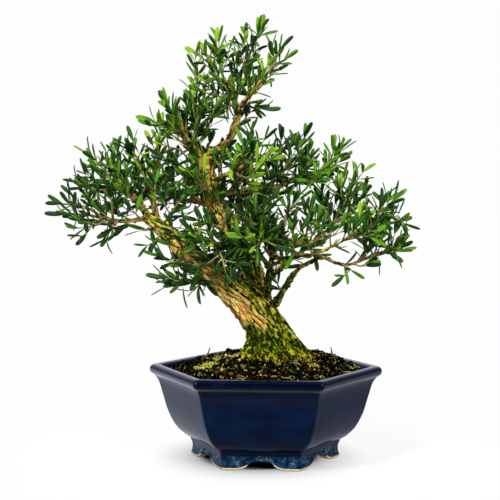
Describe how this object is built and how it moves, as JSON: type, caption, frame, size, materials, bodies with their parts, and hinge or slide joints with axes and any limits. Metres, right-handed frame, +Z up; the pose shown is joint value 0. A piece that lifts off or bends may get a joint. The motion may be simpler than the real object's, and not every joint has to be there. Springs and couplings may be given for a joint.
{
  "type": "boxwood bonsai",
  "caption": "Small-leaved boxwood grown as a leaning, forked bonsai tree in a glazed hexagonal pot with cloud feet.",
  "frame": {"origin": "on the surface that the pot stands on, under the middle of the whole plant's box, which lies 35 mm to the left of the pot's own middle and 8 mm behind it", "axes": "+Z up; +X to the right seen from the front; +Y away from the viewer, square to the pot's front side; the tree leans towards -X"},
  "size_m": [0.3246, 0.1976, 0.3943],
  "materials": {
    "glaze": "gloss",
    "soil": "matte",
    "bark": "matte",
    "foliage": "satin",
    "screen": "matte"
  },
  "bodies": {
    "root": {"drain_screen": "screen", "pot": "glaze", "soil": "soil", "spray_apex_back": "foliage", "spray_apex_far": "foliage", "spray_apex_hook": "foliage", "spray_apex_left": "foliage", "spray_apex_main": "foliage", "spray_apex_side": "foliage", "spray_back_end": "foliage", "spray_back_high": "foliage", "spray_back_left_end": "foliage", "spray_back_left_rise": "foliage", "spray_back_low_end": "foliage", "spray_back_rise": "foliage", "spray_centre_end": "foliage", "spray_crown_bright": "foliage", "spray_crown_end": "foliage", "spray_far_side": "foliage", "spray_far_tip": "foliage", "spray_front_end": "foliage", "spray_front_low": "foliage", "spray_front_star": "foliage", "spray_leader_bright": "foliage", "spray_leader_left": "foliage", "spray_left_fan": "foliage", "spray_left_hang": "foliage", "spray_left_high": "foliage", "spray_left_peak": "foliage", "spray_left_tip": "foliage", "spray_left_under": "foliage", "spray_left_up": "foliage", "spray_limb_low": "foliage", "spray_limb_twig": "foliage", "spray_limb_under": "foliage", "spray_low_hang": "foliage", "spray_low_sprig": "foliage", "spray_low_tip": "foliage", "spray_low_up": "foliage", "spray_mid_bright": "foliage", "spray_mid_end": "foliage", "spray_mid_leafy": "foliage", "spray_ruff_left": "foliage", "spray_ruff_right": "foliage", "spray_ruff_top": "foliage", "spray_shoulder_back": "foliage", "spray_shoulder_end": "foliage", "spray_shoulder_left": "foliage", "spray_shoulder_right": "foliage", "spray_shoulder_shoot": "foliage", "spray_stem_end": "foliage", "spray_stem_front": "foliage", "spray_upper_back": "foliage", "spray_upper_end": "foliage", "spray_upper_shoot": "foliage", "spray_upper_tall": "foliage", "trunk": "bark"}
  },
  "joints": []
}
